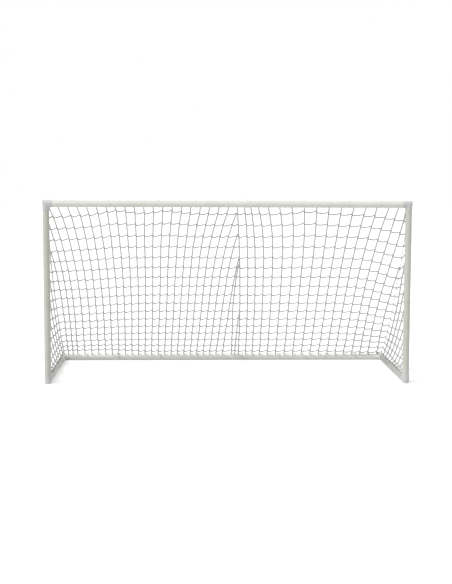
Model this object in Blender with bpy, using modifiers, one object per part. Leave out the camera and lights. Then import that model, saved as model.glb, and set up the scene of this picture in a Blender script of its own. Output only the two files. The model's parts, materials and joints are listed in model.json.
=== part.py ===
"""Football goal of push-fit plastic tubes, free-standing, with a square-mesh net.

Origin on the ground at the middle of the footprint, +X along the crossbar, +Y to the back, +Z up.
Two posts and a two-piece crossbar make the mouth.
Two side bars and a two-piece rear bar lie on the ground.
Six mitred corner fittings and two straight couplers plug into the tubes.
A sprung button locks each plug-in end, and net clips hold a back panel and two side panels.
"""

import math

import bmesh
import bpy
from mathutils import Matrix, Vector

# Driving dimensions in metres, each set by itself.
MOUTH_WIDTH = 3.658  # between the inner sides of the posts
MOUTH_HEIGHT = 1.829  # from the ground to the underside of the crossbar
DEPTH = 1.524  # from the posts' centre line to the rear bar's
TUBE_RADIUS = 0.034
TUBE_WALL = 0.003
GAP = 0.0003  # left between touching pieces
SLIDE_FIT = 0.0003  # radial play of a plug in its tube

FITTING_STEP = 0.002  # how far a corner fitting stands proud of the tube
SHOULDER = 0.062  # from a corner's centre to the end of the tube
SHOULDER_BEVEL = 0.0015
SOLE_DEPTH = 0.0015  # how much of the ground fittings' underside is flat
PLUG_LENGTH = 0.090
PLUG_WALL = 0.003
PLUG_LEAD_IN = 0.002
COLLAR_WIDTH = 0.004  # the ring in the middle of a coupler

BUTTON_FROM_SHOULDER = 0.045
BUTTON_RADIUS = 0.005
BUTTON_PLAY = 0.0003  # radial play in its holes
BUTTON_CROWN = 0.0015  # height of its rounded top
BUTTON_CROWN_RING = (0.003, 0.0003)  # where the crown bends, as (radius, depth below its top)
BUTTON_FLANGE_RADIUS = 0.008
BUTTON_FLANGE_THICKNESS = 0.002
CUTTER_REACH = 0.008  # how far a hole's cutter stands out of its tube

SPRING_WIDTH = 0.010
SPRING_THICKNESS = 0.0008
SPRING_LENGTH = 0.045  # from the button's centre to the bend
SPRING_BEND = 0.004  # inner radius of the bend
SPRING_TIP = 0.007  # how far the legs reach past the button's centre

CORD = 0.004  # thickness of the net's cord
CLIP_WALL = 0.0022
CLIP_WIDTH = 0.016
CLIP_HOOK_WALL = 0.0018
CLIP_HALF_SPAN = math.radians(108)
CLIP_SLOT_HALF = math.radians(32)  # half the opening of the hook

NET_ROWS = 10
LEFT_COLUMNS = 11  # meshes of the back panel to the left of its gathered cords
RIGHT_COLUMNS = 9
NET_GATHER = (0.09, 0.16)  # how far right of the middle they hang, at the crossbar and at the rear bar
NET_SAG_TOP = (0.10, -0.50)  # the back panel's fall below the crossbar, as (back, up)
NET_SAG_FOOT = (-0.62, 0.42)  # its run in to the rear bar
SAG_STEPS = 400  # straight steps that the sag line is measured in
CROSSBAR_CLIPS = (1, 6, 13, 18)  # the column that each clip is next to, from the left
REAR_BAR_CLIPS = (3, 8, 16)
POST_CLIPS = (2, 6)  # the row above each clip
SIDE_BAR_CLIP = 3  # the slanting cord just behind the clip, from the back

TUBE_SIDES = 20
BUTTON_SIDES = 10
HOLE_SIDES = 12

# What follows from them.
FITTING_RADIUS = TUBE_RADIUS + FITTING_STEP
PLUG_RADIUS = TUBE_RADIUS - TUBE_WALL - SLIDE_FIT
BORE_RADIUS = PLUG_RADIUS - PLUG_WALL
POST_X = MOUTH_WIDTH / 2 + TUBE_RADIUS
BAR_Z = MOUTH_HEIGHT + TUBE_RADIUS
GROUND_Z = FITTING_RADIUS - SOLE_DEPTH
FRONT_Y = -DEPTH / 2
REAR_Y = DEPTH / 2
BUTTON_TOP = TUBE_RADIUS + FITTING_STEP
CLEAR_BORE = BORE_RADIUS * math.cos(math.pi / TUBE_SIDES)  # to the middle of the bore's facets
FLANGE_TOP = math.sqrt(CLEAR_BORE**2 - BUTTON_FLANGE_RADIUS**2) - GAP
FLANGE_FOOT = FLANGE_TOP - BUTTON_FLANGE_THICKNESS
HOOK_HALF = CORD / 2 + GAP  # the hook's square pocket, from the cord's middle
HOOK_RADIUS = HOOK_HALF * math.sqrt(2)
CLIP_RADIUS = TUBE_RADIUS + GAP + CLIP_WALL
CORD_OFFSET = CLIP_RADIUS + HOOK_RADIUS  # from a tube's centre line to the net's edge cord
NET_EDGE_STEP = 1.5 * CORD  # between the edge cords of two panels

X = Vector((1, 0, 0))
Y = Vector((0, 1, 0))
Z = Vector((0, 0, 1))


def empty_scene():
    for thing in list(bpy.data.objects):
        bpy.data.objects.remove(thing, do_unlink=True)


def new_collection(name):
    collection = bpy.data.collections.new(name)
    bpy.context.scene.collection.children.link(collection)
    return collection


def new_material(name, color, roughness, metallic=0.0):
    material = bpy.data.materials.new(name)
    material.use_nodes = True
    shader = material.node_tree.nodes["Principled BSDF"]
    shader.inputs["Base Color"].default_value = (*color, 1.0)
    shader.inputs["Roughness"].default_value = roughness
    shader.inputs["Metallic"].default_value = metallic
    material.diffuse_color = (*color, 1.0)
    return material


def axes_matrix(place, along, side):
    """A frame at place with its Z axis along the tube and its X axis to the side."""
    cross = along.cross(side)
    return Matrix.Translation(place) @ Matrix((side, cross, along)).transposed().to_4x4()


def add_object(name, data, matrix, material):
    part = bpy.data.objects.new(name, data)
    part.matrix_world = matrix
    if material:
        data.materials.append(material)
        parts.objects.link(part)
    else:
        part.hide_render = True
        part.display_type = "WIRE"
        cutters.objects.link(part)
    return part


def turned(name, profile, closed, sides, matrix, material):
    """A profile of (radius, height) points, down its outer side, turned round the Z axis."""
    mesh = bpy.data.meshes.new(name)
    ends = [(i, i + 1) for i in range(len(profile) - 1)]
    if closed:
        ends.append((len(profile) - 1, 0))
    mesh.from_pydata([(radius, 0, height) for radius, height in profile], ends, [])
    part = add_object(name, mesh, matrix, material)
    screw = part.modifiers.new("turn", "SCREW")
    screw.axis = "Z"
    screw.steps = sides
    screw.render_steps = sides
    screw.use_merge_vertices = True
    screw.merge_threshold = 1e-5
    screw.use_smooth_shade = True
    return part


def cut(part, cutter):
    boolean = part.modifiers.new("cut " + cutter.name, "BOOLEAN")
    boolean.operation = "DIFFERENCE"
    boolean.solver = "EXACT"
    boolean.object = cutter


def tube(name, start, end, side):
    """A plain tube whose two ends stop a gap short of the shoulders at start and end."""
    along = (end - start).normalized()
    length = (end - start).length - 2 * GAP
    bore = TUBE_RADIUS - TUBE_WALL
    profile = [(TUBE_RADIUS, length), (TUBE_RADIUS, 0), (bore, 0), (bore, length)]
    matrix = axes_matrix(start + GAP * along, along, side)
    return turned(name, profile, True, TUBE_SIDES, matrix, tube_plastic)


def plug_profile(far, near, radius):
    """One plug-in end: the plug beyond its shoulder at far, and a body of the given radius to near."""
    tip = far + PLUG_LENGTH
    return [
        (BORE_RADIUS, tip),
        (PLUG_RADIUS - PLUG_LEAD_IN / 2, tip),
        (PLUG_RADIUS, tip - PLUG_LEAD_IN),
        (PLUG_RADIUS, far),
        (radius - SHOULDER_BEVEL, far),
        (radius, far - SHOULDER_BEVEL),
        (radius, near),
    ]


def corner(name, place, first, second):
    """A mitred fitting: half of it is turned round the first direction, and mirrored to the second."""
    profile = plug_profile(SHOULDER, -2 * FITTING_RADIUS, FITTING_RADIUS)
    profile.append((BORE_RADIUS, -2 * FITTING_RADIUS))
    matrix = axes_matrix(place, first, second)
    fitting = turned(name, profile, True, TUBE_SIDES, matrix, fitting_plastic)
    plane = bpy.data.objects.new(name + "_mitre", None)
    plane.matrix_world = axes_matrix(place, (first + second).normalized(), (first - second).normalized())
    cutters.objects.link(plane)
    mirror = fitting.modifiers.new("mitre", "MIRROR")
    mirror.use_axis = (True, False, False)
    mirror.use_bisect_axis = (True, False, False)
    mirror.bisect_threshold = 1e-6
    mirror.merge_threshold = 1e-5
    mirror.mirror_object = plane
    return fitting


def ground_cutter():
    """A slab under the ground, which takes the soles off the ground fittings."""
    slab = bmesh.new()
    bmesh.ops.create_cube(slab, size=1)
    margin = 6 * FITTING_RADIUS
    thick = 2 * FITTING_RADIUS
    bmesh.ops.scale(slab, verts=slab.verts, vec=(2 * POST_X + margin, DEPTH + margin, thick))
    mesh = bpy.data.meshes.new("below_ground")
    slab.to_mesh(mesh)
    slab.free()
    return add_object("below_ground", mesh, Matrix.Translation((0, 0, -thick / 2)), None)


def coupler(name, place, along, side):
    """A straight sleeve inside two tubes, with a collar between their ends."""
    half = COLLAR_WIDTH / 2
    above = plug_profile(half, 0, TUBE_RADIUS)[:-1]
    below = [(radius, -height) for radius, height in reversed(above)]
    matrix = axes_matrix(place, along, side)
    return turned(name, above + below, True, TUBE_SIDES, matrix, fitting_plastic)


def bent_strip(name, path, width, thickness, matrix, material):
    """A flat strip that follows a path of (x, z) points."""
    shape = bmesh.new()
    points = [shape.verts.new((x, -width / 2, z)) for x, z in path]
    edges = [shape.edges.new(pair) for pair in zip(points, points[1:])]
    grown = bmesh.ops.extrude_edge_only(shape, edges=edges)["geom"]
    moved = [item for item in grown if isinstance(item, bmesh.types.BMVert)]
    bmesh.ops.translate(shape, verts=moved, vec=(0, width, 0))
    bmesh.ops.recalc_face_normals(shape, faces=shape.faces)
    mesh = bpy.data.meshes.new(name)
    shape.to_mesh(mesh)
    shape.free()
    strip = add_object(name, mesh, matrix, material)
    solidify = strip.modifiers.new("thickness", "SOLIDIFY")
    solidify.thickness = thickness
    solidify.offset = 0
    solidify.use_even_offset = True
    return strip


def arc(centre, radius, start, end, steps):
    """Points round a centre, by angles from the second axis towards the first."""
    angles = [start + (end - start) * i / steps for i in range(steps + 1)]
    return [(centre[0] + radius * math.sin(a), centre[1] + radius * math.cos(a)) for a in angles]


def lock(name, place, along, out, tube_part, plug_part):
    """A sprung button: one hole through tube and plug, the button in it, and its spring behind it."""
    hole = bmesh.new()
    depth = TUBE_RADIUS - FLANGE_FOOT + CUTTER_REACH
    bmesh.ops.create_cone(
        hole,
        cap_ends=True,
        segments=HOLE_SIDES,
        radius1=BUTTON_RADIUS + BUTTON_PLAY,
        radius2=BUTTON_RADIUS + BUTTON_PLAY,
        depth=depth,
        matrix=Matrix.Translation((0, 0, FLANGE_FOOT + depth / 2)),
    )
    mesh = bpy.data.meshes.new("hole_" + name)
    hole.to_mesh(mesh)
    hole.free()
    matrix = axes_matrix(place, out, along)
    cutter = add_object("hole_" + name, mesh, matrix, None)
    cut(tube_part, cutter)
    cut(plug_part, cutter)
    ring_radius, ring_drop = BUTTON_CROWN_RING
    profile = [
        (0, BUTTON_TOP),
        (ring_radius, BUTTON_TOP - ring_drop),
        (BUTTON_RADIUS, BUTTON_TOP - BUTTON_CROWN),
        (BUTTON_RADIUS, FLANGE_TOP),
        (BUTTON_FLANGE_RADIUS, FLANGE_TOP),
        (BUTTON_FLANGE_RADIUS, FLANGE_FOOT),
        (0, FLANGE_FOOT),
    ]
    turned("button_" + name, profile, False, BUTTON_SIDES, matrix, button_plastic)
    upper = FLANGE_FOOT - GAP - SPRING_THICKNESS / 2
    lower = GAP + SPRING_THICKNESS / 2 - math.sqrt(CLEAR_BORE**2 - (SPRING_WIDTH / 2) ** 2)
    bend = SPRING_BEND + SPRING_THICKNESS / 2
    path = [(SPRING_TIP, upper), (-SPRING_TIP, upper)]
    path += arc((-SPRING_LENGTH, lower + bend), bend, 0, -math.pi, 4)
    path.append((SPRING_TIP, lower))
    bent_strip("spring_" + name, path, SPRING_WIDTH, SPRING_THICKNESS, matrix, spring_steel)


def clip_outline():
    """The clip seen along its tube: an open ring round the tube, and on top of it a hook for the cord."""
    ring_steps = 8
    hook = (0, CORD_OFFSET)
    hook_outer = HOOK_RADIUS + CLIP_HOOK_WALL
    # Where the two outer circles meet, as an angle at the tube's centre and one at the hook's.
    squares = CLIP_RADIUS**2 + CORD_OFFSET**2 - hook_outer**2
    meet = math.acos(squares / (2 * CLIP_RADIUS * CORD_OFFSET))
    foot = math.atan2(CLIP_RADIUS * math.sin(meet), CLIP_RADIUS * math.cos(meet) - CORD_OFFSET)
    # The ring's corners lie further out, so that its facets clear the round tube.
    widen = 1 / math.cos(CLIP_HALF_SPAN / ring_steps)
    low, high = CORD_OFFSET - HOOK_HALF, CORD_OFFSET + HOOK_HALF
    lip = HOOK_HALF * math.tan(CLIP_SLOT_HALF)
    outline = arc((0, 0), CLIP_RADIUS * widen, -CLIP_HALF_SPAN, -meet, ring_steps // 2)[:-1]
    outline += arc(hook, hook_outer, -foot, -CLIP_SLOT_HALF, 3)
    outline += [(-lip, high), (-HOOK_HALF, high), (-HOOK_HALF, low)]
    outline += [(HOOK_HALF, low), (HOOK_HALF, high), (lip, high)]
    outline += arc(hook, hook_outer, CLIP_SLOT_HALF, foot, 3)
    outline += arc((0, 0), CLIP_RADIUS * widen, meet, CLIP_HALF_SPAN, ring_steps // 2)[1:]
    outline += arc((0, 0), (TUBE_RADIUS + GAP) * widen, CLIP_HALF_SPAN, -CLIP_HALF_SPAN, ring_steps)
    return outline


def clip_shape():
    shape = bpy.data.curves.new("net_clip", "CURVE")
    shape.dimensions = "2D"
    shape.fill_mode = "BOTH"
    shape.extrude = CLIP_WIDTH / 2
    spline = shape.splines.new("POLY")
    outline = clip_outline()
    spline.points.add(len(outline) - 1)
    for point, (x, y) in zip(spline.points, outline):
        point.co = (x, y, 0, 1)
    spline.use_cyclic_u = True
    shape.materials.append(clip_plastic)
    return shape


def clip(name, place, along, out):
    """One clip on a tube: its ring is centred on place and its hook points out."""
    part = bpy.data.objects.new("clip_" + name, clip_data)
    part.matrix_world = axes_matrix(place, along, out.cross(along))
    parts.objects.link(part)


def sag(t):
    """The back panel's line from the crossbar to the rear bar, as (y, z) for t from 0 to 1."""
    start = Vector((FRONT_Y + CORD_OFFSET, BAR_Z))
    end = Vector((REAR_Y, GROUND_Z + CORD_OFFSET))
    first = start + Vector(NET_SAG_TOP)
    last = end + Vector(NET_SAG_FOOT)
    weights = ((1 - t) ** 3, 3 * t * (1 - t) ** 2, 3 * t * t * (1 - t), t**3)
    return sum((w * p for w, p in zip(weights, (start, first, last, end))), Vector((0, 0)))


def even_sag(count):
    """Points on the sag line, equal lengths of cord apart."""
    fine = [sag(i / SAG_STEPS) for i in range(SAG_STEPS + 1)]
    lengths = [0.0]
    for before, after in zip(fine, fine[1:]):
        lengths.append(lengths[-1] + (after - before).length)
    points = []
    for i in range(count + 1):
        wanted = lengths[-1] * i / count
        k = min(j for j, length in enumerate(lengths) if length >= wanted - 1e-9)
        points.append(fine[k])
    return points


def net(name, rows):
    """A panel of square mesh, from the knots' places, row by row. A longer row ends in a half mesh."""
    shape = bmesh.new()
    knots = [[shape.verts.new(place) for place in row] for row in rows]
    for upper, lower in zip(knots, knots[1:]):
        for i in range(len(upper) - 1):
            shape.faces.new((upper[i], lower[i], lower[i + 1], upper[i + 1]))
        if len(lower) > len(upper):
            shape.faces.new((upper[-1], lower[-2], lower[-1]))
    mesh = bpy.data.meshes.new(name)
    shape.to_mesh(mesh)
    shape.free()
    panel = add_object(name, mesh, Matrix(), net_cord)
    cords = panel.modifiers.new("cords", "WIREFRAME")
    cords.thickness = CORD
    cords.use_replace = True
    cords.use_boundary = True
    cords.use_even_offset = True
    cords.use_relative_offset = False
    return panel


def net_x(share, down):
    """Sideways place on the back panel: share runs from -1 at its left edge, over 0 at the gathered cords,
    to 1 at its right edge, and down from 0 at the crossbar to 1 at the rear bar."""
    gathered = NET_GATHER[0] + (NET_GATHER[1] - NET_GATHER[0]) * down
    edge = math.copysign(POST_X - CORD - GAP, share)
    return gathered + (edge - gathered) * abs(share)


def column_share(i):
    if i < LEFT_COLUMNS:
        return i / LEFT_COLUMNS - 1
    return (i - LEFT_COLUMNS) / RIGHT_COLUMNS


def back_row(j):
    """The knots of one row of the back panel, from left to right."""
    y, z = even_sag(NET_ROWS)[j]
    shares = [column_share(i) for i in range(LEFT_COLUMNS + RIGHT_COLUMNS + 1)]
    return [(net_x(share, j / NET_ROWS), y, z) for share in shares]


def side_row(side, j):
    """The knots of one row of a side panel, from the back panel to the post, where every second row starts
    one more of the cords that slant down to the ground."""
    front = FRONT_Y + CORD_OFFSET
    top, floor = BAR_Z - CORD_OFFSET, GROUND_Z + CORD_OFFSET
    at_post = Vector((side * POST_X, front, top + (floor - top) * j / NET_ROWS))
    if j == 0:
        return [at_post]
    shares = [2 * k / j for k in range(j // 2 + 1)]
    if j % 2:
        shares.append(1)
    # The slanting cords crowd together towards the rear corner, and more so lower down.
    shares = [share ** (1 + (j / NET_ROWS) ** 2) for share in shares]
    edge = Vector((net_x(side, j / NET_ROWS) + side * NET_EDGE_STEP, *even_sag(NET_ROWS)[j]))
    if j == NET_ROWS:
        edge = Vector((side * POST_X, REAR_Y - NET_EDGE_STEP, floor))
    return [edge + (at_post - edge) * share for share in shares]


def nets():
    net("net_back", [back_row(j) for j in range(NET_ROWS + 1)])
    net("net_left", [side_row(-1, j) for j in range(NET_ROWS + 1)])
    net("net_right", [side_row(1, j) for j in range(NET_ROWS + 1)])


def frame():
    """The tubes, the fittings that they push onto, and the button at each plug-in end."""
    crossbar, rear_bar = {}, {}
    middle = COLLAR_WIDTH / 2
    top_coupler = coupler("crossbar_coupler", Vector((0, FRONT_Y, BAR_Z)), X, Z)
    rear_coupler = coupler("rear_bar_coupler", Vector((0, REAR_Y, GROUND_Z)), X, Y)
    for side, out in (("left", -X), ("right", X)):
        top = POST_X * out + Vector((0, FRONT_Y, BAR_Z))
        foot = POST_X * out + Vector((0, FRONT_Y, GROUND_Z))
        rear = POST_X * out + Vector((0, REAR_Y, GROUND_Z))
        top_corner = corner("top_corner_" + side, top, -out, -Z)
        foot_corner = corner("foot_corner_" + side, foot, Z, Y)
        rear_corner = corner("rear_corner_" + side, rear, -Y, -out)
        cut(foot_corner, ground)
        cut(rear_corner, ground)
        post = tube("post_" + side, foot + SHOULDER * Z, top - SHOULDER * Z, out)
        side_bar = tube("side_bar_" + side, foot + SHOULDER * Y, rear - SHOULDER * Y, out)
        crossbar[side] = tube(
            "crossbar_" + side, Vector((0, FRONT_Y, BAR_Z)) + middle * out, top - SHOULDER * out, Z
        )
        rear_bar[side] = tube(
            "rear_bar_" + side, Vector((0, REAR_Y, GROUND_Z)) + middle * out, rear - SHOULDER * out, Y
        )
        reach = SHOULDER + BUTTON_FROM_SHOULDER
        lock(f"crossbar_{side}", top - reach * out, -out, Z, crossbar[side], top_corner)
        lock(f"post_{side}_top", top - reach * Z, -Z, out, post, top_corner)
        lock(f"post_{side}_foot", foot + reach * Z, Z, out, post, foot_corner)
        lock(f"side_bar_{side}_front", foot + reach * Y, Y, out, side_bar, foot_corner)
        lock(f"side_bar_{side}_rear", rear - reach * Y, -Y, out, side_bar, rear_corner)
        lock(f"rear_bar_{side}", rear - reach * out, -out, Y, rear_bar[side], rear_corner)
    reach = (middle + BUTTON_FROM_SHOULDER) * X
    lock("crossbar_middle", Vector((0, FRONT_Y, BAR_Z)) + reach, X, Z, crossbar["right"], top_coupler)
    lock("rear_bar_middle", Vector((0, REAR_Y, GROUND_Z)) + reach, X, Y, rear_bar["right"], rear_coupler)


def clips():
    """Net clips, each half way between two cords that meet the tube."""
    top, foot = back_row(0), back_row(NET_ROWS)
    for number, i in enumerate(CROSSBAR_CLIPS, 1):
        x = (top[i][0] + top[i + 1][0]) / 2
        clip(f"crossbar_{number}", Vector((x, FRONT_Y, BAR_Z)), X, Y)
    for number, i in enumerate(REAR_BAR_CLIPS, 1):
        x = (foot[i][0] + foot[i + 1][0]) / 2
        clip(f"rear_bar_{number}", Vector((x, REAR_Y, GROUND_Z)), X, Z)
    for side, sign in (("left", -1), ("right", 1)):
        for number, j in enumerate(POST_CLIPS, 1):
            z = (side_row(sign, j)[-1].z + side_row(sign, j + 1)[-1].z) / 2
            clip(f"post_{side}_{number}", Vector((sign * POST_X, FRONT_Y, z)), Z, Y)
        behind, before = side_row(sign, NET_ROWS)[SIDE_BAR_CLIP : SIDE_BAR_CLIP + 2]
        clip(f"side_bar_{side}", Vector((sign * POST_X, (behind.y + before.y) / 2, GROUND_Z)), Y, Z)


def even_shading():
    """Keeps the shading of the long flat facets even next to the holes and the ends."""
    for part in parts.objects:
        if "turn" in part.modifiers:
            part.modifiers.new("shading", "WEIGHTED_NORMAL")


empty_scene()
parts = new_collection("pvc_goal")
cutters = new_collection("cutters")
tube_plastic = new_material("tube_plastic", (0.80, 0.80, 0.74), 0.35)
fitting_plastic = new_material("fitting_plastic", (0.78, 0.79, 0.77), 0.40)
button_plastic = new_material("button_plastic", (0.70, 0.71, 0.70), 0.40)
spring_steel = new_material("spring_steel", (0.55, 0.55, 0.57), 0.30, 1.0)
net_cord = new_material("net_cord", (0.82, 0.82, 0.82), 0.70)
clip_plastic = new_material("clip_plastic", (0.80, 0.80, 0.76), 0.40)
clip_data = clip_shape()
ground = ground_cutter()
frame()
nets()
clips()
even_shading()
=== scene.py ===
"""Looks of the football goal, on the CAD frame: fine tubes, fittings, buttons, springs and clips,
and a knotted net."""

import bisect
import json
from collections import namedtuple
from math import acos, atan2, copysign, cos, exp, pi, radians, sin, sqrt, tan

import bmesh
import bpy
from mathutils import Matrix, Vector, noise


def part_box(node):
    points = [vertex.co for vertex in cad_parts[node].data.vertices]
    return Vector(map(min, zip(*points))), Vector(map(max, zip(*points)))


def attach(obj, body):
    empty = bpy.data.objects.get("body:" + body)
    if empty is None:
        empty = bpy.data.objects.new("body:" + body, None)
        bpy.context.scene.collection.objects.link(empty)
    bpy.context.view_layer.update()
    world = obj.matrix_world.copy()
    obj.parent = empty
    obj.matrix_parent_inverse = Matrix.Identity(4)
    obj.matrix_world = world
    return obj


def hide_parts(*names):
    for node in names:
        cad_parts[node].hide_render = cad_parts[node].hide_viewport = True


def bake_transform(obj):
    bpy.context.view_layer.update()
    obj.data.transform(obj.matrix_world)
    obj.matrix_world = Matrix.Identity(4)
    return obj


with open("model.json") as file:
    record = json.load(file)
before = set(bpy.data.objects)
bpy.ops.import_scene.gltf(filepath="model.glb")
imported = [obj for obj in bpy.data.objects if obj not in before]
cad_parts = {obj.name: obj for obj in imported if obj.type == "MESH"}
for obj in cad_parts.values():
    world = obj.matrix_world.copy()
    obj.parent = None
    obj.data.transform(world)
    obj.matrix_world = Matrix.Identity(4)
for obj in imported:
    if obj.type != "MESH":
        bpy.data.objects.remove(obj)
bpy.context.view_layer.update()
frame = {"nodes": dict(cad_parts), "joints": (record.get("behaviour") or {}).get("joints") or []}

# The photograph's camera.
PHOTO_SIZE = (452, 584)
FOCAL_PX = 1165
SENSOR_WIDTH = 36
CAMERA_PLACE = Vector((-0.396, -12.732, 2.221))
CAMERA_YAW = radians(1.80)  # to the right
CAMERA_PITCH = radians(6.02)  # down
CAMERA_ROLL = radians(0.20)  # anticlockwise

# Light, as what a white surface that faces it sends back.
AMBIENT = 0.47
SUN = 0.71
SUN_FROM = Vector((-0.36, -0.22, 0.60))
SUN_ANGLE = radians(30)
FLOOR_HALF = 60
FLOOR_COLOR = (0.80, 0.80, 0.80, 1)
FLOOR_LIFT = 0.46  # added to the floor where it is seen, so that it shows white

# Sizes that the fine pieces share with the solids, in metres.
GAP = 0.0003  # left between touching pieces
TUBE_WALL = 0.003
PLUG_WALL = 0.003
SLIDE_FIT = 0.0003
SHOULDER = 0.062  # from a corner's centre to the end of the tube
SHOULDER_BEVEL = 0.0015
PLUG_LENGTH = 0.090
PLUG_LEAD_IN = 0.002
COLLAR_WIDTH = 0.004
BUTTON_RADIUS = 0.005
BUTTON_PLAY = 0.0003
BUTTON_CROWN = 0.0015
BUTTON_FLANGE_RADIUS = 0.008
BUTTON_FLANGE_THICKNESS = 0.002
CORD = 0.004
CLIP_WALL = 0.0022
CLIP_WIDTH = 0.016
CLIP_HOOK_WALL = 0.0018
CLIP_HALF_SPAN = radians(108)
CLIP_SLOT_HALF = radians(32)
NET_SAG_TOP = (0.10, -0.50)  # the sag line's handle at the crossbar, as (back, up)
NET_SAG_FOOT = (-0.62, 0.42)  # and at the rear bar

# Fine detail of the frame.
TUBE_SIDES = 64
BUTTON_SIDES = 32
END_CHAMFER = 0.0006
HOLE_BAND = 0.012  # half of the stretch of fine rings round a hole
RING_ROOM = 0.001  # least distance of such a ring from an end
PLUG_EDGE = 0.0005  # inner edge of a plug's end
SHOULDER_STEPS = 4
RIDGE_BEVEL = 0.0012  # on the outer edge of a mitre
RIDGE_REACH = 0.97  # of the fitting's radius
RIDGE_ANGLE = radians(20)
BUTTON_EDGE = 0.0003
CROWN_STEPS = 8
DIMPLE_DEPTH = 0.0003
DIMPLE_RADIUS = 0.0012
WELD = 1e-6
MITRE_WELD = 1e-5
BOX_ROOM = 1e-4

# Angles in degrees over which an edge is sharp.
SHARP_TUBE = 40
SHARP_FITTING = 35
SHARP_CORD = 85

ROOT = "frame_and_net"
X = Vector((1, 0, 0))
Y = Vector((0, 1, 0))
Z = Vector((0, 0, 1))


def link(thing):
    bpy.context.scene.collection.objects.link(thing)
    return thing


def to_mesh(name, shape):
    mesh = bpy.data.meshes.new(name)
    shape.to_mesh(mesh)
    shape.free()
    return mesh


def box_of(node):
    return [Vector(corner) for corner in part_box(node)]


def centre(node):
    low, high = box_of(node)
    return (low + high) / 2


def within_one(value):
    return min(max(value, 0.0), 1.0)


def lengths_along(points):
    """How far along a line each of its points is."""
    lengths = [0.0]
    for before, after in zip(points, points[1:]):
        lengths.append(lengths[-1] + (after - before).length)
    return lengths


def make_camera():
    data = bpy.data.cameras.new("camera")
    data.sensor_width = SENSOR_WIDTH
    data.lens = FOCAL_PX * data.sensor_width / max(PHOTO_SIZE)
    camera = link(bpy.data.objects.new("camera", data))
    yaw = Matrix.Rotation(-CAMERA_YAW, 4, "Z")
    pitch = Matrix.Rotation(pi / 2 - CAMERA_PITCH, 4, "X")
    roll = Matrix.Rotation(CAMERA_ROLL, 4, "Z")
    camera.matrix_world = Matrix.Translation(CAMERA_PLACE) @ yaw @ pitch @ roll
    bpy.context.scene.camera = camera


class Nodes:
    """A short way to add shader nodes and to join them."""

    def __init__(self, tree):
        self.tree = tree

    def add(self, kind, settings=None, **inputs):
        node = self.tree.nodes.new(kind)
        for key, value in (settings or {}).items():
            setattr(node, key, value)
        for key, value in inputs.items():
            self.feed(node.inputs[key.replace("_", " ")], value)
        return node

    def feed(self, socket, value):
        if isinstance(value, bpy.types.NodeSocket):
            self.tree.links.new(value, socket)
        else:
            socket.default_value = value

    def ramp(self, value, stops):
        """A colour ramp through (position, grey or colour) stops."""
        node = self.add("ShaderNodeValToRGB", Fac=value)
        elements = node.color_ramp.elements
        while len(elements) < len(stops):
            elements.new(0.5)
        for element, (position, color) in zip(elements, stops):
            element.position = position
            element.color = (*color, 1) if isinstance(color, tuple) else (color, color, color, 1)
        return node.outputs["Color"]

    def map_range(self, value, low, high, to_low, to_high):
        node = self.add("ShaderNodeMapRange")
        for key, number in (("Value", value), ("From Min", low), ("From Max", high),
                            ("To Min", to_low), ("To Max", to_high)):
            self.feed(node.inputs[key], number)
        return node.outputs["Result"]

    def noise(self, vector, scale, detail):
        node = self.add("ShaderNodeTexNoise", Vector=vector, Scale=scale, Detail=detail)
        return node.outputs["Fac"]

    def stretched(self, vector, scale):
        return self.add("ShaderNodeMapping", Vector=vector, Scale=scale).outputs["Vector"]

    def tint(self, color, factor, other):
        node = self.add("ShaderNodeMix", {"data_type": "RGBA"})
        for number, value in ((0, factor), (6, color), (7, other)):
            self.feed(node.inputs[number], value)
        return node.outputs[2]

    def math(self, operation, *values):
        node = self.add("ShaderNodeMath", {"operation": operation})
        for socket, value in zip(node.inputs, values):
            self.feed(socket, value)
        return node.outputs[0]


def new_material(name):
    material = bpy.data.materials.new(name)
    material.use_nodes = True
    nodes = Nodes(material.node_tree)
    return material, nodes, material.node_tree.nodes["Principled BSDF"]


def seen_directly(nodes):
    """1 where the camera, a reflection or glass shows the surface, 0 where it only lights."""
    path = nodes.add("ShaderNodeLightPath")
    seen = path.outputs["Is Camera Ray"]
    for kind in ("Is Glossy Ray", "Is Transmission Ray"):
        seen = nodes.math("MAXIMUM", seen, path.outputs[kind])
    return seen


# Plastic. Stretches are repeats per metre round a tube and along it.
STREAK_STRETCH = (900.0, 1.3, 1.0)
SPECK_COLOR = (0.32, 0.30, 0.25, 1)
SPECK_SHARE = 0.10
RUBBED_COLOR = (0.55, 0.54, 0.50, 1)
RUBBED_SHARE = 0.10
DUST_COLOR = (0.36, 0.33, 0.25, 1)
DUST_SHARE = 0.25
DUST_HEIGHT = 0.11  # above the ground, where it ends
STREAK_COLOR = (0.60, 0.60, 0.55, 1)
DRAWN = 0.22  # how strong a drawn tube's streaks are
MOULDED = 0.0


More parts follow.
